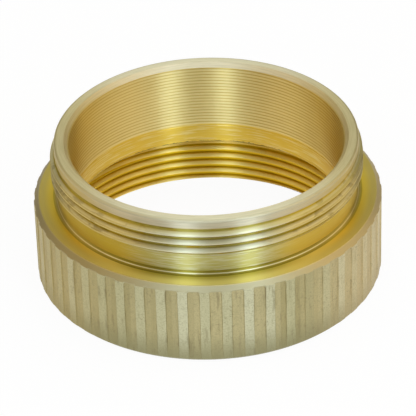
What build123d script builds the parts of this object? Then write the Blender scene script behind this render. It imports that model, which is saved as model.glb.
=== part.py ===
from build123d import *
import math
import os

# Male to female thread adapter, turned from one bar of brass, in millimetres.
# It stands on its collar: the origin is at the centre of the bottom face, and
# the axis of both threads is +Z, with the male thread at the top.

# Lengths along the axis
overall_height = 12.0
collar_height = 7.0
neck_length = 1.8  # plain relief between the collar and the male thread
pocket_depth = 4.4  # from the bottom face to the stop that the mating end meets
internal_relief_length = 1.3  # run-out groove above the female thread

# Both threads are of one size, metric 60 degree form, right hand. The solid
# carries each at its crests: the major diameter outside, the minor inside.
thread_diameter = 25.0
thread_pitch = 0.75
thread_height_per_pitch = 5 * math.sqrt(3) / 16  # crest to root of the 60 degree form
external_relief_clearance = 0.05  # the neck lies this much below the male root
internal_relief_clearance = 0.1  # the groove lies this much behind the female root

# Lip, a short plain pilot above the male thread, and the edges
lip_step = 0.35  # the lip lies this much inside the crests, down a 45 degree lead-in
lip_length = 0.8  # from the top of the rim down to the lead-in
lip_wall = 1.15  # from the outside of the lip in to the bore
rim_edge_radius = 0.2  # rounding round the outside of the lip
rim_bevel = 0.35  # 45 degree bevel from the top of the rim into the bore
stop_edge_break = 0.15  # broken edge where the bore meets the pocket
entry_chamfer = 0.1  # small 45 degree break at the pocket's mouth
neck_corner_radius = 0.3

# Collar
collar_wall = 1.5  # from the threads' major diameter out to the top of the knurl bars
collar_top_chamfer = 0.4
collar_bottom_chamfer = 0.3

# Straight knurl: flat bars with flat grooves between them
bar_count = 51
bar_height = 0.06
groove_width = 0.95  # at its mouth
groove_flank_angle = 30.0  # of each side of a groove, from the radial plane
first_groove_angle = -88.5  # a groove faces the front, just right of centre

# Radii that follow from the sizes above
major_radius = thread_diameter / 2
minor_radius = major_radius - thread_height_per_pitch * thread_pitch
neck_radius = minor_radius - external_relief_clearance
internal_relief_radius = major_radius + internal_relief_clearance
mouth_radius = minor_radius + entry_chamfer
lip_radius = major_radius - lip_step
bore_radius = lip_radius - lip_wall
collar_radius = major_radius + collar_wall

# Heights that follow from the sizes above
male_thread_bottom = collar_height + neck_length
lead_in_top = overall_height - lip_length
male_thread_top = lead_in_top - lip_step
female_thread_top = pocket_depth - internal_relief_length


def outer_outline():
    """Outside of the ring, from the bottom face up to the top of the rim."""
    run_in = major_radius - neck_radius
    return [
        (collar_radius - collar_bottom_chamfer, 0),
        (collar_radius, collar_bottom_chamfer),
        (collar_radius, collar_height - collar_top_chamfer),
        (collar_radius - collar_top_chamfer, collar_height),
        (neck_radius, collar_height),
        (neck_radius, male_thread_bottom - run_in),
        (major_radius, male_thread_bottom),
        (major_radius, male_thread_top),
        (lip_radius, lead_in_top),
        (lip_radius, overall_height),
    ]


def inner_outline():
    """Inside of the ring, from the top of the rim down to the bottom face."""
    run_out = internal_relief_radius - minor_radius
    return [
        (bore_radius + rim_bevel, overall_height),
        (bore_radius, overall_height - rim_bevel),
        (bore_radius, pocket_depth + stop_edge_break),
        (bore_radius + stop_edge_break, pocket_depth),
        (internal_relief_radius, pocket_depth),
        (internal_relief_radius, female_thread_top),
        (minor_radius, female_thread_top - run_out),
        (minor_radius, entry_chamfer),
        (mouth_radius, 0),
    ]


def turned_ring():
    """The section turned about the axis, with its two rounded corners."""
    with BuildSketch(Plane.XZ) as section:
        with BuildLine():
            Polyline(outer_outline() + inner_outline(), close=True)
        make_face()
        rim_edge = section.vertices().sort_by_distance((lip_radius, overall_height))[0]
        fillet(rim_edge, rim_edge_radius)
        neck_corner = section.vertices().sort_by_distance((neck_radius, collar_height))[0]
        fillet(neck_corner, neck_corner_radius)
    with BuildPart() as ring:
        add(section.sketch)
        revolve(axis=Axis.Z)
    return ring.part


def knurl_groove():
    """One groove of the knurl, as the tapered bar of metal that is cut away."""
    floor_radius = collar_radius - bar_height
    flank = bar_height * math.tan(math.radians(groove_flank_angle))
    overcut = bar_height  # the cutter reaches past the collar by its own depth
    with BuildPart() as groove:
        with BuildSketch(Plane.XY):
            with BuildLine():
                Polyline(
                    (floor_radius, -groove_width / 2 + flank),
                    (collar_radius + overcut, -groove_width / 2 - flank),
                    (collar_radius + overcut, groove_width / 2 + flank),
                    (floor_radius, groove_width / 2 - flank),
                    close=True,
                )
            make_face()
        extrude(amount=collar_height)
    return groove.part


def adapter_body():
    """The whole adapter: the turned ring with the knurl cut into its collar."""
    with BuildPart() as body:
        add(turned_ring())
        with PolarLocations(0, bar_count, start_angle=first_groove_angle):
            add(knurl_groove(), mode=Mode.SUBTRACT)
    return body.part


os.makedirs("parts", exist_ok=True)
export_step(adapter_body(), "parts/adapter_body.step")
print("knurl pitch", round(2 * math.pi * collar_radius / bar_count, 3), "mm")
print("neck radius", round(neck_radius, 3), "mm, minor radius", round(minor_radius, 3), "mm")
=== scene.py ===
import bpy
import math
import numpy as np
from mathutils import Matrix, Vector, noise


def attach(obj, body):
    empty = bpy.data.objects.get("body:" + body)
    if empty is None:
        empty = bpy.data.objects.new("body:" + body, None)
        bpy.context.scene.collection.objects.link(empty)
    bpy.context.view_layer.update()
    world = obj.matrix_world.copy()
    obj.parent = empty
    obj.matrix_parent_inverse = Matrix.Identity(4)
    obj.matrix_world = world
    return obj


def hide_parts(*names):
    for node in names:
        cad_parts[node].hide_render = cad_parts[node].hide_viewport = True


# A turned brass ring: a knurled collar, a neck, a male thread and a lip, round a bore and a
# female thread

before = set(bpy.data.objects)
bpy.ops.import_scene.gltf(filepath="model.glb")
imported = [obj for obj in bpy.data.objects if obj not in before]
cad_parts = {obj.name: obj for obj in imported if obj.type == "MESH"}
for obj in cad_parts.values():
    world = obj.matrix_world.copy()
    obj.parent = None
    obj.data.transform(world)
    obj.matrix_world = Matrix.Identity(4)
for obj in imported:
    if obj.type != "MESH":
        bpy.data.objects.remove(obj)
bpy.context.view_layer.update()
print("frame loaded")

# The ring's sizes are in millimetres and degrees, and turn into metres as it is built
mm = 0.001
front = -90  # degrees round the axis to the side that faces the camera
rear = 90

# What is common to the whole ring, as the solid has it
ring = {
    "height": 12.0,
    "collarHeight": 7.0,
    "pocketDepth": 4.4,
    "boreRadius": 11.0,
    "majorRadius": 12.5,  # of both threads
    "minorRadius": 12.094,
    "pitch": 0.75,
    "flank": 0.234,  # height of each sloping side of a thread
    "edgeWear": 1.5,  # 1 would leave the upper edge of each crest sharp
    "sharpFrom": 24,  # edges that turn more than this stay sharp
}

knurl = {
    "bars": 51,
    "firstGroove": -88.5,  # where the first groove is, just right of the front
    "radius": 14.0,
    "depth": 0.06,
    "mouthHalfAngle": 1.944,  # from the middle of a groove to either edge of its mouth
    "floorHalfAngle": 1.803,
    "rowStep": 0.26,  # between the rows of points up the knurl
    "rowsAtFoot": [0.05, 0.1],  # up from the bottom
    "rowsAtTop": [0.34, 0.28, 0.22, 0.15, 0.08],  # down from the collar's face
    "edgeWander": 0.16,  # degrees that the edges of a bar wander
    "edgeWaves": (7, 1.3),  # how often, round the ring and up it
    "floorWander": 0.012,
    "floorWaves": (9, 0.9),
    "shallowBelow": 2.5,  # the grooves get shallower below this height
    "shallowBy": 0.6,  # of their depth, at the foot
}


def columnAngles():
    # where the columns of points stand round the ring: on the edges of every bar and groove
    step = 360 / knurl["bars"]
    mouth = knurl["mouthHalfAngle"]
    floor = knurl["floorHalfAngle"]
    barThird = (step - 2 * mouth) / 3
    inGroove = [-floor, -floor / 3, floor / 3, floor]
    onBar = [mouth, mouth + barThird, mouth + 2 * barThird, mouth + 3 * barThird]
    angles = []
    depths = []
    for bar in range(knurl["bars"]):
        for offset in inGroove:
            angles.append(knurl["firstGroove"] + bar * step + offset)
            depths.append(1.0)
        for offset in onBar:
            angles.append(knurl["firstGroove"] + bar * step + offset)
            depths.append(0.0)
    return np.array(angles), np.array(depths)


angles, grooveDepth = columnAngles()
columns = len(angles)
print("columns of points", columns)


class Band:
    # one stretch of the section, with a radius, a height and a swing in degrees for each point
    def __init__(self, radius, height, swing=0.0, climb=0):
        height = np.asarray(height, float)
        shape = (columns, height.shape[-1])
        self.radius = np.array(np.broadcast_to(radius, shape), float)
        self.height = np.array(np.broadcast_to(height, shape), float)
        self.swing = np.array(np.broadcast_to(swing, shape), float)
        self.climb = climb  # rows that the band shifts by in one turn: a thread's rows climb


def plainBand(points):
    radius = np.array([p[0] for p in points], float)
    height = np.array([p[1] for p in points], float)
    return Band(radius[None, :], height[None, :])


def arcPoints(centreRadius, centreHeight, size, start, end, steps):
    turns = np.radians(np.linspace(start, end, steps + 1))
    return [(centreRadius + size * math.cos(t), centreHeight + size * math.sin(t)) for t in turns]


def helixBand(low, high, pitch, fractions, startHeight, startAngle, shape, downward=False):
    # rows that climb with the helix, cut off level at low and high; the fractions of the pitch
    # place the rows in each turn
    turn = (angles - startAngle)[:, None] / 360
    lowest = math.floor((low - startHeight) / pitch - turn.max()) - 1
    highest = math.ceil((high - startHeight) / pitch - turn.min()) + 1
    turnsUp = range(lowest, highest + 1)
    offsets = np.concatenate([pitch * (q + np.array(fractions)) for q in turnsUp])
    climbing = startHeight + offsets[None, :] + pitch * turn
    height = np.clip(climbing, low, high)
    within = np.mod((height - startHeight - pitch * turn) / pitch, 1.0)
    exact = np.tile(np.array(fractions), len(turnsUp))
    within = np.where(climbing == height, exact[None, :], within)
    radius = shape(within * pitch, height)
    if downward:
        return Band(radius[:, ::-1], height[:, ::-1], climb=-len(fractions))
    return Band(radius, height, climb=len(fractions))


def threadDepth(place, crest):
    # 0 at the crest and 1 at the root, for a place up from the lower edge of a crest
    upperFlank = np.clip((place - crest) / ring["flank"], 0, 1) ** ring["edgeWear"]
    lowerFlank = np.clip((ring["pitch"] - place) / ring["flank"], 0, 1)
    return np.minimum(upperFlank, lowerFlank)


def smoothStep(low, high, value):
    t = np.clip((value - low) / (high - low), 0, 1)
    return t * t * (3 - 2 * t)


def knurlWander(seed, waves, z):
    # smooth noise from -1 to 1 over the knurl, the same at each run
    often, oftenUp = waves
    turn = np.radians(angles)[:, None]
    x = often * np.cos(turn) + seed
    y = often * np.sin(turn) - seed
    x, y, z = np.broadcast_arrays(x, y, oftenUp * z)
    values = [noise.noise(Vector(place)) for place in zip(x.ravel(), y.ravel(), z.ravel())]
    return np.array(values).reshape(z.shape)


# The outside, from the mouth of the pocket out and up
collar = {
    "topChamfer": 0.4,
    "bottomChamfer": 0.3,
    "mouthChamfer": 0.1,
    "neckRadius": 12.044,
    "cornerRadius": 0.3,
}


def bottomFace():
    outer = knurl["radius"] - collar["bottomChamfer"]
    inner = ring["minorRadius"] + collar["mouthChamfer"]
    return plainBand([(r, 0) for r in np.linspace(inner, outer, 4)])


def knurledWall():
    outer = knurl["radius"]
    low = collar["bottomChamfer"]
    top = ring["collarHeight"]
    high = top - collar["topChamfer"]
    main = np.arange(low + 0.18, high - 0.1, knurl["rowStep"])
    ends = [top - drop for drop in knurl["rowsAtTop"]]
    heights = np.concatenate([knurl["rowsAtFoot"], [low], main, [high - 0.05, high], ends, [top]])
    z = np.broadcast_to(heights, (columns, len(heights)))
    bottomCone = outer - low + z
    topCone = outer - collar["topChamfer"] + (top - z)
    skin = np.minimum(np.minimum(bottomCone, topCone), outer)
    shallow = knurl["shallowBy"] * knurl["depth"] * (1 - smoothStep(low, knurl["shallowBelow"], z))
    roam = knurl["floorWander"] * knurlWander(3.1, knurl["floorWaves"], z)
    cut = outer - knurl["depth"] + shallow + roam
    radius = np.where(grooveDepth[:, None] > 0.5, np.minimum(skin, cut), skin)
    fade = smoothStep(0, 0.4, z) * smoothStep(0, 0.3, top - z)  # the bars' ends stay in place
    swing = knurl["edgeWander"] * fade * knurlWander(8.4, knurl["edgeWaves"], z)
    return Band(radius, z, swing)


def collarFace():
    top = ring["collarHeight"]
    inner = collar["neckRadius"] + collar["cornerRadius"]
    rows = np.linspace(knurl["radius"] - collar["topChamfer"], inner, 6)[1:-1]
    corner = arcPoints(inner, top + collar["cornerRadius"], collar["cornerRadius"], 270, 180, 6)
    return plainBand([(r, top) for r in rows] + corner)


maleThread = {
    "crestAtFront": 10.74,  # lower edge of the top full crest at the front
    "crestWidth": 0.094,
    "bottom": 9.1,  # the crests run down to the neck below this height
    "zoneBottom": 8.3,
    "zoneTop": 11.26,
}

lip = {
    "radius": 12.15,
    "leadInTop": 11.2,
    "wallRows": [11.3, 11.55],
    "edgeRadius": 0.2,
    "bevel": 0.35,
}


def neck():
    low = ring["collarHeight"] + collar["cornerRadius"]
    rows = np.linspace(low, maleThread["zoneBottom"], 5)[1:-1]
    return plainBand([(collar["neckRadius"], z) for z in rows])


def maleShape(place, height):
    major = ring["majorRadius"]
    deep = major - ring["minorRadius"]
    cut = major - deep * threadDepth(place, maleThread["crestWidth"])
    relief = np.maximum(collar["neckRadius"], major - (maleThread["bottom"] - height))
    leadIn = lip["radius"] + np.maximum(lip["leadInTop"] - height, 0)
    return np.minimum(np.minimum(cut, relief), leadIn)


def maleBand():
    crest = maleThread["crestWidth"]
    flank = ring["flank"]
    pitch = ring["pitch"]
    stops = [0, crest, crest + flank * 0.3, crest + flank * 0.6, crest + flank]
    stops += [pitch / 2 + crest / 2, pitch - flank, pitch - flank / 2]
    fractions = [s / pitch for s in stops]
    low = maleThread["zoneBottom"]
    high = maleThread["zoneTop"]
    return helixBand(low, high, pitch, fractions, maleThread["crestAtFront"], front, maleShape)


def lipBand():
    edge = lip["edgeRadius"]
    top = ring["height"]
    outer = lip["radius"] - edge
    wall = [(lip["radius"], z) for z in lip["wallRows"]]
    around = arcPoints(outer, top - edge, edge, 0, 90, 5)
    inner = ring["boreRadius"] + lip["bevel"]
    flat = [(r, top) for r in np.linspace(outer, inner, 4)[1:]]
    bevel = [(inner - lip["bevel"] * s, top - lip["bevel"] * s) for s in (0.33, 0.67, 1.0)]
    return plainBand(wall + around + flat + bevel)


# The inside, from the bevel down to the mouth
boreMarks = {
    "top": 11.24,
    "bottom": 6.2,
    "pitch": 0.286,
    "depth": 0.02,
    "rows": [0, 0.2, 0.5, 0.8],  # of points across each mark, in parts of its pitch
}


def boreShape(place, height):
    across = place / boreMarks["pitch"]
    scallop = 4 * across * (1 - across)
    keep = smoothStep(boreMarks["bottom"], boreMarks["bottom"] + 0.3, height)
    return ring["boreRadius"] + boreMarks["depth"] * scallop * keep


def boreBand():
    low = boreMarks["bottom"]
    high = ring["height"] - lip["bevel"] - 0.02
    pitch = boreMarks["pitch"]
    return helixBand(low, high, pitch, boreMarks["rows"], boreMarks["top"], rear, boreShape, True)


femaleThread = {
    "crestAtRear": 2.76,  # lower edge of the top crest at the rear
    "crestWidth": 0.1875,
    "reliefRadius": 12.6,
    "reliefBottom": 3.45,
}


def stopBand():
    bore = ring["boreRadius"]
    stop = ring["pocketDepth"]
    relief = femaleThread["reliefRadius"]
    return plainBand(
        [
            (bore + 0.03, 6.12),  # a shallow line where the boring marks end
            (bore + 0.03, 6.04),
            (bore, 5.98),
            (bore, 5.4),
            (bore, 4.9),
            (bore + 0.02, 4.84),  # and a finer one above the stop edge
            (bore + 0.02, 4.68),
            (bore, 4.62),
            (bore, stop + 0.15),
            (bore + 0.07, stop + 0.05),  # the broken edge
            (bore + 0.15, stop),
            (bore + 0.8, stop),
            (relief - 0.05, stop),
            (relief, stop - 0.05),
            (relief, 3.7),
            (relief, femaleThread["reliefBottom"] + 0.05),
        ]
    )


def femaleShape(place, height):
    minor = ring["minorRadius"]
    deep = ring["majorRadius"] - minor
    cut = minor + deep * threadDepth(place, femaleThread["crestWidth"])
    relief = femaleThread["reliefRadius"] - np.maximum(femaleThread["reliefBottom"] - height, 0)
    mouth = minor + collar["mouthChamfer"] - height
    return np.maximum(np.maximum(cut, relief), mouth)


def femaleBand():
    crest = femaleThread["crestWidth"]
    flank = ring["flank"]
    pitch = ring["pitch"]
    stops = [0, crest / 2, crest, crest + flank * 0.3, crest + flank * 0.6, crest + flank]
    stops += [pitch - flank, pitch - flank / 2]
    fractions = [s / pitch for s in stops]
    high = femaleThread["reliefBottom"]
    start = femaleThread["crestAtRear"]
    return helixBand(0.0, high, pitch, fractions, start, rear, femaleShape, True)


samePoint = 1e-8  # points nearer to each other than this many metres are one


def weave(bands):
    # joins the bands into one closed skin, and drops the faces that the level cuts leave empty
    radius = np.concatenate([b.radius for b in bands], axis=1)
    height = np.concatenate([b.height for b in bands], axis=1)
    swing = np.concatenate([b.swing for b in bands], axis=1)
    rows = radius.shape[1]
    partner = np.arange(rows)
    start = 0
    for band in bands:
        count = band.radius.shape[1]
        partner[start:start + count] = start + np.clip(np.arange(count) + band.climb, 0, count - 1)
        start += count
    turn = np.radians(angles[:, None] + swing)
    places = np.stack([radius * np.cos(turn), radius * np.sin(turn), height], axis=-1) * mm
    points = []
    index = np.zeros((columns, rows), int)
    for i in range(columns):
        first = len(points)
        for j in range(rows):
            here = places[i, j]
            if len(points) > first and np.abs(here - points[-1]).max() < samePoint:
                index[i, j] = len(points) - 1
                continue
            index[i, j] = len(points)
            points.append(here)
        if np.abs(points[-1] - points[first]).max() < samePoint:
            points.pop()
            index[i, index[i] == len(points)] = first
    faces = []
    for i in range(columns):
        right = (i + 1) % columns
        match = partner if right == 0 else np.arange(rows)
        for j in range(rows):
            k = (j + 1) % rows
            corners = [index[i, j], index[right, match[j]], index[right, match[k]], index[i, k]]
            face = []
            for c in corners:
                if c not in face:
                    face.append(int(c))
            if len(face) > 2:
                faces.append(face)
    return points, faces


bands = [
    bottomFace(),
    knurledWall(),
    collarFace(),
    neck(),
    maleBand(),
    lipBand(),
    boreBand(),
    stopBand(),
    femaleBand(),
]
points, faces = weave(bands)
mesh = bpy.data.meshes.new("adapterBody")
mesh.from_pydata(points, [], faces)
mesh.validate()
mesh.shade_smooth()
mesh.set_sharp_from_angle(angle=math.radians(ring["sharpFrom"]))
adapter = bpy.data.objects.new("adapterBody", mesh)
bpy.context.scene.collection.objects.link(adapter)
triangles = sum(len(f) - 2 for f in faces)
print("adapter body", len(points), "points", triangles, "triangles")


class Value:
    # wraps a socket, so that maths on it is written as a plain expression
    def __init__(self, finish, socket):
        self.finish = finish
        self.socket = socket

    def __add__(self, other):
        return self.finish.calc("ADD", self, other)

    def __radd__(self, other):
        return self.finish.calc("ADD", other, self)

    def __sub__(self, other):
        return self.finish.calc("SUBTRACT", self, other)

    def __rsub__(self, other):
        return self.finish.calc("SUBTRACT", other, self)

    def __mul__(self, other):
        return self.finish.calc("MULTIPLY", self, other)

    def __rmul__(self, other):
        return self.finish.calc("MULTIPLY", other, self)

    def __truediv__(self, other):
        return self.finish.calc("DIVIDE", self, other)

    def atLeast(self, other):
        return self.finish.calc("MAXIMUM", self, other)


class Finish:
    # one material and its nodes
    def __init__(self, name):
        self.material = bpy.data.materials.new(name)
        self.material.use_nodes = True
        self.nodes = self.material.node_tree.nodes
        self.links = self.material.node_tree.links
        self.nodes.clear()

    def add(self, kind, settings=None, sockets=None, output=0):
        node = self.nodes.new("ShaderNode" + kind)
        for name, value in (settings or {}).items():
            setattr(node, name, value)
        for name, value in (sockets or {}).items():
            if isinstance(value, Value):
                self.links.new(value.socket, node.inputs[name])
            else:
                node.inputs[name].default_value = value
        return Value(self, node.outputs[output]) if len(node.outputs) else node

    def calc(self, operation, *values):
        return self.add("Math", {"operation": operation}, dict(enumerate(values)))

    def step(self, low, high, value):
        # 0 below low and 1 above high
        return self.add(
            "MapRange",
            {"interpolation_type": "SMOOTHSTEP"},
            {"Value": value, "From Min": low, "From Max": high, "To Min": 0.0, "To Max": 1.0},
        )

    def between(self, low, high, value, soft):
        # 1 from low to high, with ends that are soft by so much to each side
        ending = self.step(high - soft, high + soft, value)
        return self.step(low - soft, low + soft, value) * (1 - ending)

    def mix(self, factor, first, second):
        return self.add("Mix", {"data_type": "RGBA"}, {0: factor, 6: first, 7: second}, 2)

    def stretch(self, vector, factors):
        return self.add("VectorMath", {"operation": "MULTIPLY"}, {0: vector, 1: factors})

    def clouds(self, vector, scale, detail):
        return self.add("TexNoise", {}, {"Vector": vector, "Scale": scale, "Detail": detail})

    def metal(self, colour, roughness, height, depth, more=None):
        # the surface itself; height is the relief, from 0 to 1, and depth its size
        relief = {"Strength": 1.0, "Distance": depth * mm, "Height": height}
        bump = self.add("Bump", {}, relief, "Normal")
        sockets = {"Base Color": colour, "Metallic": 1.0, "Roughness": roughness, "Normal": bump}
        shader = self.add("BsdfPrincipled", {}, sockets | (more or {}))
        self.add("OutputMaterial", {}, {"Surface": shader})
        return self.material


brass = {
    "gold": (0.90, 0.70, 0.20, 1),  # where no other colour lies over it
    "pale": (0.80, 0.76, 0.50, 1),  # the crests of the male thread, and streaks on the neck
    "flank": (0.86, 0.77, 0.42, 1),  # painted light: the upper flanks of the male thread made lighter on the left and the right
    "root": (0.52, 0.44, 0.10, 1),  # painted shade in the male thread's roots and the lower half of its flanks, with some dirt
    "rust": (0.52, 0.36, 0.04, 1),
    # the roots' colour on the left and right sides: painted shade
    "sideRoot": (0.66, 0.50, 0.06, 1),
    "olive": (0.64, 0.58, 0.20, 1),  # the neck
    "sideShade": (0.66, 0.48, 0.05, 1),  # painted shade: the left and right sides darker and warmer than the front and the rear
    "sideGold": (0.76, 0.56, 0.09, 1),  # painted light: the right side brighter than the left
    "rim": (0.78, 0.70, 0.48, 1),  # the lip and the rim, handled most
    "rimEdge": (0.56, 0.52, 0.34, 1),  # streaks on the rim, and painted shade on the rounding round the outside of the rim
    "face": (0.88, 0.76, 0.23, 1),  # the collar's top face
    "faceShade": (0.42, 0.34, 0.0, 1),  # nearer the neck
    # painted light and shade of the collar's face on the left and right sides
    "sideFace": (0.71, 0.54, 0.13, 1),
    "innerSideFace": (0.95, 0.70, 0.08, 1),
    "chamfer": (0.49, 0.445, 0.265, 1),
    # painted light and shade of the chamfer on the left and right sides
    "leftChamfer": (0.38, 0.30, 0.13, 1),
    "rightChamfer": (0.60, 0.47, 0.22, 1),
    "corner": (0.80, 0.78, 0.50, 1),  # a painted highlight: a bright line in the rounded corner of the neck
    "cornerShade": (0.26, 0.22, 0.02, 1),  # above and below it
    "bore": (0.97, 0.82, 0.37, 1),
    # painted shade in the grooves of the boring marks, and on the bore's left and right sides
    "boreLine": (0.66, 0.46, 0.08, 1),
    "stop": (0.82, 0.57, 0.08, 1),  # the smooth band at the foot of the bore
    "pocket": (0.86, 0.56, 0.02, 1),  # behind and below the stop edge
    # painted shade under the crests of the female thread
    "pocketLine": (0.42, 0.25, 0.0, 1),
    "ridge": (1.0, 0.80, 0.24, 1),  # painted light on the upper side of each ridge of the female thread, and under the stop edge
    "dark": (0.24, 0.16, 0.01, 1),  # dirt in the threads, and painted shade under the crests, under the lip and along the stop edge
    "roughness": 0.42,
    "paleRoughness": 0.5,
    "boreRoughness": 0.09,  # more than the other turned walls
    "markDepth": 0.004,  # millimetres
    "turnedSpread": 0.98,  # how much more light scatters across the turning marks than along them
    "handledSpread": 0.6,
    "spreadTurn": 0.25,  # turns, from along the marks to across them
}

# Where one finish of the turned brass passes into the next: heights, unless radii are named
zones = {
    "outside": (11.9, 12.0),  # radii: the bore is nearer the axis, and the threads are further out
    "neckFoot": (7.28, 7.34),
    "neckTop": (8.8, 9.0),
    "maleThread": (8.84, 11.2),
    "leadIn": (10.9, 11.12),
    "fullCrests": (12.44, 12.48),  # radii
    "lipFoot": (11.28, 11.31),
    "face": (12.3, 13.58),  # radii
    "faceLevel": (6.9, 7.05),
    "nearNeck": (12.4, 13.2),  # radii
    "innerFace": (12.5, 13.3),  # radii
    "chamfer": (13.5, 13.68),  # radii
    "cornerInside": (12.0, 12.03),  # radii
    "cornerOutside": (12.4, 12.44),  # radii
    "corner": (6.99, 7.32),
    "cornerLine": (7.06, 7.12),
    "pocketWall": (12.7, 12.8),  # radii
    "pocketTop": (4.42, 4.5),
    "femaleThreadTop": (3.24, 3.34),
    "underStop": (3.3, 4.3),
    "stopEdge": (4.38, 4.52),
    "lip": (11.2, 11.26),
    "bevelFoot": (11.62, 11.66),
    "bevelInside": (11.03, 11.06),  # radii
    "rimRounding": (11.74, 11.84),
    "lipWallTop": (11.66, 11.8),
    "paleCollar": (13.57, 13.63),  # radii
    "boreWall": (11.4, 11.6),  # radii
}

# Where the painted light and shade of the left and right sides starts, and the worn crests,
# in turns round from the front, and how far it fades in to each side of that
sideStarts = {
    "maleThread": (0.075, 0.03),
    "wornCrests": (0.06, 0.03),
    "face": (0.13, 0.05),
    "faceShade": (0.09, 0.03),
    "chamfer": (0.095, 0.04),
    "rim": (0.13, 0.05),
    "bore": (0.2, 0.06),
    "knurl": (0.12, 0.05),
}
sideEnd = (0.31, 0.41)  # it fades out again towards the rear
leftToRight = (-0.04, 0.04)

# How strongly each colour is laid over the one below it, from 0 to 1
amounts = {
    "neckStreaks": 0.62,
    "neckSideShade": 0.9,
    "crestSideShade": 0.6,
    "wornCrests": 0.35,
    "leadIn": 0.4,
    "underCrests": 0.45,
    "underCrestsAside": -0.1,  # added on the sides
    "underCrestsScuffed": 0.4,  # added where the crests are scuffed
    "lipLine": 0.7,
    "faceShade": 0.65,
    "chamferSideShade": 0.8,
    "corner": 0.85,
    "cornerAside": -0.4,  # added on the sides
    "boreSideShade": 0.45,
    "boreLine": 0.55,
    "boreLinePatchy": 0.4,
    "stopStreaks": 0.6,
    "pocketLine": 0.75,
    "rimStreaks": 0.3,
    "rimRounding": 0.7,
    "rimSideShade": 0.32,
    "lipWallSideShade": 0.3,  # added on the wall of the lip
}


class Places:
    # where a point of the surface is: millimetres, and turns round the axis from the front
    def __init__(self, finish):
        self.finish = finish
        place = finish.add("TexCoord", {}, {}, "Object")
        self.inMm = finish.add("VectorMath", {"operation": "SCALE"}, {0: place, "Scale": 1 / mm})
        parts = [finish.add("SeparateXYZ", {}, {0: self.inMm}, axis) for axis in "XYZ"]
        self.x, self.y, self.z = parts
        self.radius = finish.calc("SQRT", self.x * self.x + self.y * self.y)
        self.turn = finish.calc("ARCTAN2", self.x, 0 - self.y) / (2 * math.pi)
        self.onRight = finish.step(*leftToRight, self.turn)

    def sides(self, part):
        # 1 on the left and right sides of a part, and 0 at the front and the rear
        start, soft = sideStarts[part]
        aside = self.finish.calc("ABSOLUTE", self.turn)
        toRear = self.finish.step(*sideEnd, aside)
        return self.finish.step(start - soft, start + soft, aside) * (1 - toRear)

    def phase(self, start, pitch, turn):
        # 0 to 1 up each turn of a helix that has the height start at the given turn
        return self.finish.calc("FRACT", (self.z - start) / pitch - self.turn + turn)


class Wear:
    # the noise that the turned finishes share
    def __init__(self, finish, at):
        # turning marks: long round the axis, and fine across the wall
        drawn = {"X": at.x * 0.5, "Y": at.y * 0.5, "Z": at.z * 9 + at.radius * 13}
        self.marks = finish.clouds(finish.add("CombineXYZ", {}, drawn), 1.0, 4.0)
        self.patchy = finish.clouds(at.inMm, 0.9, 3.0)
        self.grime = finish.clouds(at.inMm, 4.0, 4.0)
        self.scuffs = finish.clouds(finish.stretch(at.inMm, (0.7, 0.7, 4.0)), 1.0, 3.0)


def maleThreadColour(finish, at, wear, colour):
    step = finish.step
    outside = step(*zones["outside"], at.radius)
    onThread = outside * finish.between(*zones["maleThread"], at.z, 0.05)
    onNeck = outside * (1 - step(*zones["neckTop"], at.z)) * step(*zones["neckFoot"], at.z)
    # painted light and shade on the left and right sides of the thread and the neck
    sideShading = at.sides("maleThread")
    streaks = step(0.46, 0.6, wear.marks) * amounts["neckStreaks"]
    neckColour = finish.mix(streaks, brass["olive"], brass["pale"])
    sideColour = finish.mix(at.onRight, brass["sideShade"], brass["sideGold"])
    neckColour = finish.mix(sideShading * amounts["neckSideShade"], neckColour, sideColour)
    colour = finish.mix(onNeck, colour, neckColour)
    crests = finish.mix(sideShading * amounts["crestSideShade"], brass["pale"], brass["sideShade"])
    colour = finish.mix(onThread, colour, crests)

    # up each turn: 0 is the lower edge of a crest, and its upper flank starts at 0.13
    up = at.phase(maleThread["crestAtFront"], ring["pitch"], 0)
    onFlank = finish.between(0.22, 0.5, up, 0.04) * onThread
    # painted light: the upper flanks lighter on the sides
    colour = finish.mix(onFlank * sideShading, colour, brass["flank"])
    # painted shade in the roots, with patches of rust
    root = finish.mix(step(0.5, 0.66, wear.patchy), brass["root"], brass["rust"])
    root = finish.mix(sideShading, root, brass["sideRoot"])
    colour = finish.mix(step(0.32, 0.42, up) * onThread, colour, root)
    worn = step(0.46, 0.56, wear.patchy) * step(0.5, 0.62, wear.scuffs) * onThread
    worn = worn * at.sides("wornCrests") * amounts["wornCrests"]
    colour = finish.mix(worn, colour, brass["dark"])
    # the lead-in under the lip is darker, in the roots' colour
    belowCrests = 1 - step(*zones["fullCrests"], at.radius)
    leadIn = outside * finish.between(*zones["leadIn"], at.z, 0.05) * belowCrests
    colour = finish.mix(leadIn * amounts["leadIn"], colour, brass["root"])

    # painted shade under the crests and under the lip, with dirt where the crests are scuffed
    underCrest = step(0.48, 0.58, up) * onThread
    shadeAndDirt = amounts["underCrests"] + sideShading * amounts["underCrestsAside"]
    shadeAndDirt = shadeAndDirt + step(0.5, 0.6, wear.scuffs) * amounts["underCrestsScuffed"]
    lipLine = outside * finish.between(*zones["lipFoot"], at.z, 0.012) * step(0.42, 0.6, wear.patchy)
    shade = (underCrest * shadeAndDirt).atLeast(lipLine * amounts["lipLine"])
    return finish.mix(shade, colour, brass["dark"])


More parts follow.
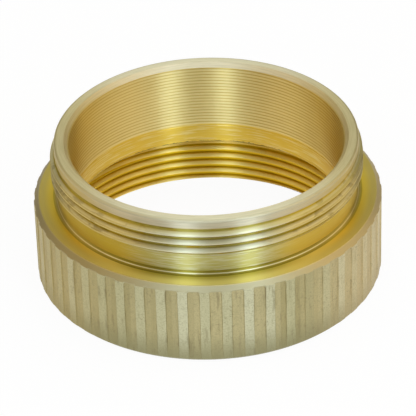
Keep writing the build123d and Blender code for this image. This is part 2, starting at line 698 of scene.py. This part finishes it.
def collarColour(finish, at, colour):
    step = finish.step
    onLevel = finish.between(*zones["faceLevel"], at.z, 0.03)
    onFace = finish.between(*zones["face"], at.radius, 0.03) * onLevel
    colour = finish.mix(onFace, colour, brass["face"])
    aside = at.sides("face")
    nearNeck = (1 - step(*zones["nearNeck"], at.radius)) * (1 - at.sides("faceShade"))
    colour = finish.mix(onFace * nearNeck * amounts["faceShade"], colour, brass["faceShade"])
    outward = step(*zones["innerFace"], at.radius)
    # painted light and shade of the face on the left and right sides
    sideFace = finish.mix(outward, brass["innerSideFace"], brass["sideFace"])
    colour = finish.mix(onFace * aside, colour, sideFace)
    # painted light and shade of the chamfer on the left and right sides
    sideChamfer = finish.mix(at.onRight, brass["leftChamfer"], brass["rightChamfer"])
    sideShading = at.sides("chamfer") * amounts["chamferSideShade"]
    chamferColour = finish.mix(sideShading, brass["chamfer"], sideChamfer)
    colour = finish.mix(step(*zones["chamfer"], at.radius), colour, chamferColour)
    # a painted highlight in the corner's rounding, between two lines of painted shade
    inside = 1 - step(*zones["cornerOutside"], at.radius)
    around = step(*zones["cornerInside"], at.radius) * inside
    inCorner = finish.between(*zones["corner"], at.z, 0.01) * around
    bright = finish.between(*zones["cornerLine"], at.z, 0.015)
    cornerColour = finish.mix(bright, brass["cornerShade"], brass["corner"])
    amount = amounts["corner"] + aside * amounts["cornerAside"]
    return finish.mix(inCorner * amount, colour, cornerColour)


def boreColour(finish, at, wear, colour):
    step = finish.step
    inside = 1 - step(*zones["outside"], at.radius)
    low = boreMarks["bottom"]
    inBore = inside * finish.between(low, 11.6, at.z, 0.05)
    up = at.phase(boreMarks["top"], boreMarks["pitch"], 0.5)
    # painted shade in the grooves of the boring marks
    line = (1 - step(0.12, 0.3, up)).atLeast(step(0.86, 0.96, up)) * inBore
    # painted shade on the bore's left and right sides
    sideShading = at.sides("bore") * amounts["boreSideShade"]
    boreWall = finish.mix(sideShading, brass["bore"], brass["boreLine"])
    colour = finish.mix(inBore, colour, boreWall)
    amount = amounts["boreLine"] + wear.patchy * amounts["boreLinePatchy"]
    colour = finish.mix(line * amount, colour, brass["boreLine"])
    below = inside * (1 - step(low - 0.1, low, at.z))
    colour = finish.mix(below, colour, brass["stop"])
    streaks = step(0.48, 0.66, wear.marks) * amounts["stopStreaks"]
    return finish.mix(below * streaks, colour, brass["bore"])


def pocketColour(finish, at, wear, colour):
    step = finish.step
    inside = 1 - step(*zones["pocketWall"], at.radius)
    unevenHeight = at.z + (wear.grime - 0.5) * 0.3
    inPocket = inside * (1 - step(*zones["pocketTop"], unevenHeight))
    colour = finish.mix(inPocket, colour, brass["pocket"])
    up = at.phase(femaleThread["crestAtRear"], ring["pitch"], 0.5)
    onThread = inside * (1 - step(*zones["femaleThreadTop"], at.z))
    # painted light on the upper side of each ridge and under the stop edge
    upperSide = step(0.2, 0.28, up) * (1 - step(0.42, 0.52, up)) * onThread
    underStop = inside * finish.between(*zones["underStop"], at.z, 0.06)
    colour = finish.mix(upperSide.atLeast(underStop), colour, brass["ridge"])
    # painted shade under each crest
    lowerEdge = (1 - step(0.0, 0.24, up)).atLeast(step(0.48, 0.58, up)) * onThread
    colour = finish.mix(lowerEdge * amounts["pocketLine"], colour, brass["pocketLine"])
    # painted shade along the stop edge, in patches
    stopEdge = inside * finish.between(*zones["stopEdge"], unevenHeight, 0.03)
    return finish.mix(stopEdge * step(0.36, 0.5, wear.patchy), colour, brass["dark"])


def rimColour(finish, at, wear, colour, onRim):
    step = finish.step
    streaks = step(0.44, 0.62, wear.marks) * amounts["rimStreaks"]
    rim = finish.mix(streaks, brass["rim"], brass["rimEdge"])
    # painted shade on the rounding round the outside of the rim
    onEdge = step(*zones["outside"], at.radius) * step(*zones["rimRounding"], at.z)
    rim = finish.mix(onEdge * amounts["rimRounding"], rim, brass["rimEdge"])
    # painted light and shade on the left and right sides of the rim and the lip's wall
    onLipWall = 1 - step(*zones["lipWallTop"], at.z)
    rimSideShading = at.sides("rim") * (amounts["rimSideShade"] + onLipWall * amounts["lipWallSideShade"])
    return finish.mix(onRim, colour, finish.mix(rimSideShading, rim, brass["sideShade"]))


def turnedFinish(name, spread):
    finish = Finish(name)
    at = Places(finish)
    wear = Wear(finish, at)
    step = finish.step
    onBevel = step(*zones["bevelInside"], at.radius)
    onRim = step(*zones["lip"], at.z) * onBevel.atLeast(step(*zones["bevelFoot"], at.z))
    colour = boreColour(finish, at, wear, brass["gold"])
    colour = pocketColour(finish, at, wear, colour)
    colour = maleThreadColour(finish, at, wear, colour)
    colour = collarColour(finish, at, colour)
    colour = rimColour(finish, at, wear, colour, onRim)

    pale = onRim.atLeast(step(*zones["paleCollar"], at.radius))
    low = boreMarks["bottom"]
    inBore = (1 - step(*zones["boreWall"], at.radius)) * step(low, low + 0.1, at.z)
    paler = brass["paleRoughness"] - brass["roughness"]
    roughness = brass["roughness"] + paler * pale + (wear.marks - 0.5) * 0.12
    roughness = roughness + inBore * brass["boreRoughness"]
    drawnOut = {"Anisotropic": spread, "Anisotropic Rotation": brass["spreadTurn"]}
    return finish.metal(colour, roughness, wear.marks, brass["markDepth"], drawnOut)


knurlBrass = {
    "bar": (0.56, 0.53, 0.31, 1),
    "silverBar": (0.68, 0.67, 0.46, 1),
    "groove": (0.44, 0.375, 0.175, 1),
    "paleGroove": (0.55, 0.48, 0.25, 1),
    "sideShade": (0.52, 0.38, 0.12, 1),  # painted shade laid over the left side
    "warm": (0.74, 0.56, 0.30, 1),  # and painted light laid over the right side
    # painted shade along the edges of the grooves
    "edge": (0.26, 0.21, 0.08, 1),
    "foot": (0.31, 0.29, 0.15, 1),  # painted shade: the knurl darker towards the bottom; also the colour of the mottling
    "stain": (0.28, 0.23, 0.12, 1),
    # how bright each bar at the front is, counted to the right from the first groove: painted
    # highlights where the lamps' highlights fall on the bars, over their rubbed shine
    "leftFrontBars": {-4: 0.15, -3: 0.35, -2: 0.8, -1: 0.25},
    "rightFrontBars": {0: 0.25, 1: 0.8, 2: 0.65, 3: 0.0},
    "archTop": 6.66,  # where a groove ends at its middle
    "archDrop": 0.22,  # and how much lower it ends at its edges
    "roughness": 0.55,
    "grainDepth": 0.03,
}

knurlAmounts = {
    "otherSilverBars": 0.6,  # the brightest of the bars that have no place in the lists above
    "faintBars": 0.6,
    "grooves": 0.9,
    "edges": 0.5,
    "edgesAside": -0.3,  # added on the sides
    "foot": 0.85,
    "smears": 0.4,
    "sides": 0.45,
    "mottle": 0.3,
    "specks": 0.5,
}


def shineOfBars(finish, number):
    # the bars at the front have listed shines that hold painted highlights, and the others a random
    # one
    choice = finish.add("TexWhiteNoise", {"noise_dimensions": "1D"}, {"W": number})
    known = 0
    silver = 0
    for place, shine in (knurlBrass["leftFrontBars"] | knurlBrass["rightFrontBars"]).items():
        here = finish.calc("COMPARE", number, place, 0.5)
        known = here + known
        silver = here * shine + silver
    others = (1 - known) * finish.step(0.5, 0.95, choice)
    silver = silver + others * knurlAmounts["otherSilverBars"]
    faint = (1 - known) * (1 - finish.step(0.1, 0.3, choice))
    return silver, faint


def knurlFinish():
    finish = Finish("knurledBrass")
    at = Places(finish)
    step = finish.step
    grain = finish.clouds(at.inMm, 5.0, 4.0)
    streaks = finish.clouds(finish.stretch(at.inMm, (1.0, 1.0, 0.12)), 3.4, 3.0)
    patchy = finish.clouds(at.inMm, 0.7, 2.0)
    mottle = finish.clouds(at.inMm, 8.0, 2.0)

    # across one bar and one groove: 0 is the middle of a groove
    pitchTurn = 1 / knurl["bars"]
    fromGroove = (at.turn - (knurl["firstGroove"] - front) / 360) / pitchTurn
    across = finish.calc("PINGPONG", fromGroove, 0.5) * 2
    number = finish.calc("FLOOR", fromGroove)
    mouth = knurl["mouthHalfAngle"] / 360 / pitchTurn * 2
    drop = finish.calc("POWER", across / mouth, 4.0) * knurlBrass["archDrop"]
    belowArch = 1 - step(0, 0.05, at.z - (knurlBrass["archTop"] - drop))
    inGroove = (1 - step(mouth - 0.04, mouth + 0.04, across)) * belowArch
    onEdge = finish.between(mouth - 0.05, mouth + 0.05, across, 0.03) * belowArch
    silver, faint = shineOfBars(finish, number)

    bar = finish.mix(silver, knurlBrass["bar"], knurlBrass["silverBar"])
    bar = finish.mix(faint * knurlAmounts["faintBars"], bar, knurlBrass["groove"])
    uneven = finish.add("TexWhiteNoise", {"noise_dimensions": "1D"}, {"W": number + 0.5})
    groove = finish.mix(uneven, knurlBrass["groove"], knurlBrass["paleGroove"])
    colour = finish.mix(inGroove * knurlAmounts["grooves"], bar, groove)
    aside = at.sides("knurl")
    # painted shade along the edges of the grooves
    edgeShade = knurlAmounts["edges"] + aside * knurlAmounts["edgesAside"]
    edgeShade = step(0.4, 0.7, streaks) * edgeShade
    colour = finish.mix(onEdge * edgeShade, colour, knurlBrass["edge"])
    # painted shade: darker towards the bottom
    towardsFoot = 1 - step(0.0, 3.0, at.z)
    colour = finish.mix(towardsFoot * knurlAmounts["foot"], colour, knurlBrass["foot"])
    smear = step(0.55, 0.68, streaks) * step(0.4, 0.6, patchy)
    colour = finish.mix(smear * knurlAmounts["smears"], colour, knurlBrass["stain"])
    # painted shade on the left side and painted light on the right side
    sideColour = finish.mix(at.onRight, knurlBrass["sideShade"], knurlBrass["warm"])
    colour = finish.mix(aside * knurlAmounts["sides"], colour, sideColour)
    mottled = step(0.4, 0.7, mottle) * knurlAmounts["mottle"]
    colour = finish.mix(mottled, colour, knurlBrass["foot"])
    specks = step(0.56, 0.72, grain) * step(0.4, 0.6, patchy)
    colour = finish.mix(specks * knurlAmounts["specks"], colour, knurlBrass["stain"])
    roughness = knurlBrass["roughness"] + (streaks - 0.5) * 0.25
    return finish.metal(colour, roughness, grain + streaks * 0.6, knurlBrass["grainDepth"])


# The rim and the chamfer are rubbed dull, so they have a finish of their own
parting = {"rimFoot": 11.7, "bevelInside": 11.03, "collarInside": 13.6, "chamferFoot": 6.62}

mesh.materials.append(turnedFinish("turnedBrass", brass["turnedSpread"]))
mesh.materials.append(knurlFinish())
mesh.materials.append(turnedFinish("handledBrass", brass["handledSpread"]))
for polygon in mesh.polygons:
    out = polygon.center.xy.length / mm
    height = polygon.center.z / mm
    onRim = height > parting["rimFoot"] and out > parting["bevelInside"]
    onCollar = height > 0 and out > parting["collarInside"]
    if onCollar and height < parting["chamferFoot"]:
        polygon.material_index = 1
    elif onCollar or onRim:
        polygon.material_index = 2
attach(adapter, "root")
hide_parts("adapter_body")
print("finish done")

stage = {"floorSize": 1.5, "floorColour": (0.96, 0.96, 0.96, 1), "shadowKept": 0.06}


def floorFinish():
    finish = Finish("paleFloor")
    seen = finish.add("LightPath", {}, {}, "Is Camera Ray")
    glossy = finish.add("LightPath", {}, {}, "Is Glossy Ray")
    through = finish.add("LightPath", {}, {}, "Is Transmission Ray")
    matt = finish.add("BsdfDiffuse", {}, {"Color": stage["floorColour"]})
    white = finish.add("Emission", {}, {"Color": (1, 1, 1, 1), "Strength": 1.0})
    factor = seen.atLeast(glossy).atLeast(through) * (1 - stage["shadowKept"])
    both = finish.add("MixShader", {}, {0: factor, 1: matt, 2: white})
    finish.add("OutputMaterial", {}, {"Surface": both})
    return finish.material


def floorPiece():
    half = stage["floorSize"] / 2
    corners = [(-half, -half, 0), (half, -half, 0), (half, half, 0), (-half, half, 0)]
    floorMesh = bpy.data.meshes.new("floor")
    floorMesh.from_pydata(corners, [], [(0, 1, 2, 3)])
    floorMesh.materials.append(floorFinish())
    piece = bpy.data.objects.new("floor", floorMesh)
    bpy.context.scene.collection.objects.link(piece)


floorPiece()

surround = {"colour": (1.0, 0.88, 0.68, 1), "strength": 0.24}


def surroundings():
    world = bpy.data.worlds.new("surround")
    bpy.context.scene.world = world
    world.use_nodes = True
    background = world.node_tree.nodes["Background"]
    background.inputs["Color"].default_value = surround["colour"]
    background.inputs["Strength"].default_value = surround["strength"]


surroundings()

# Lamps: direction from the ring in degrees, round from the camera's side to the right, and up,
# then width and height in metres
lamps = {
    "rightStrip": {"aim": (29, 30), "size": (0.12, 0.46), "power": 0.98, "colour": (0.60, 0.75, 1.0)},
    "leftStrip": {"aim": (-17, 30), "size": (0.12, 0.46), "power": 0.88, "colour": (0.60, 0.75, 1.0)},
    "frontBox": {"aim": (12, 52), "size": (1.0, 0.34), "power": 0.78, "colour": (0.88, 0.96, 1.0)},
    "rightBox": {"aim": (90, 36), "size": (0.8, 0.6), "power": 1.2, "colour": (1.0, 0.86, 0.66)},
    "leftBox": {"aim": (-90, 36), "size": (0.8, 0.6), "power": 0.84, "colour": (1.0, 0.84, 0.62)},
    "overhead": {"aim": (0, 88), "size": (1.2, 0.3), "power": 0.6, "colour": (1.0, 0.86, 0.64)},
    "topBox": {"aim": (180, 62), "size": (0.4, 0.7), "power": 1.04, "colour": (0.78, 0.92, 1.0)},
}
lampDistance = 0.6  # metres


def hangLamp(name, lamp):
    light = bpy.data.lights.new(name, "AREA")
    light.shape = "RECTANGLE"
    light.size, light.size_y = lamp["size"]
    light.energy = lamp["power"]
    light.color = lamp["colour"]
    holder = bpy.data.objects.new(name, light)
    bpy.context.scene.collection.objects.link(holder)
    side, up = [math.radians(angle) for angle in lamp["aim"]]
    way = Vector((math.cos(up) * math.sin(side), -math.cos(up) * math.cos(side), math.sin(up)))
    holder.location = way * lampDistance
    holder.rotation_euler = way.to_track_quat("Z", "Y").to_euler()


for name, lamp in lamps.items():
    hangLamp(name, lamp)
print("stage and lamps done")

shot = {
    "place": (-0.016, -201.05, 139.84),  # millimetres
    "down": 0.5906,  # radians below the horizon
    "roll": -0.0304,  # radians
    "lens": 259.11,
    "sensor": 36.0,
    "near": 0.01,  # metres
    "far": 10,
}


def setCamera():
    data = bpy.data.cameras.new("camera")
    data.lens = shot["lens"]
    data.sensor_width = shot["sensor"]
    data.clip_start = shot["near"]
    data.clip_end = shot["far"]
    camera = bpy.data.objects.new("camera", data)
    bpy.context.scene.collection.objects.link(camera)
    forward = Vector((0, math.cos(shot["down"]), -math.sin(shot["down"])))
    levelRight = Vector((1, 0, 0))
    levelUp = levelRight.cross(forward)
    c = math.cos(shot["roll"])
    s = math.sin(shot["roll"])
    right = levelRight * c + levelUp * s
    up = levelUp * c - levelRight * s
    axes = Matrix((right, up, -forward)).transposed().to_4x4()
    camera.matrix_world = Matrix.Translation(Vector(shot["place"]) * mm) @ axes
    bpy.context.scene.camera = camera


setCamera()
bpy.context.scene.view_settings.view_transform = "Standard"
print("camera done")
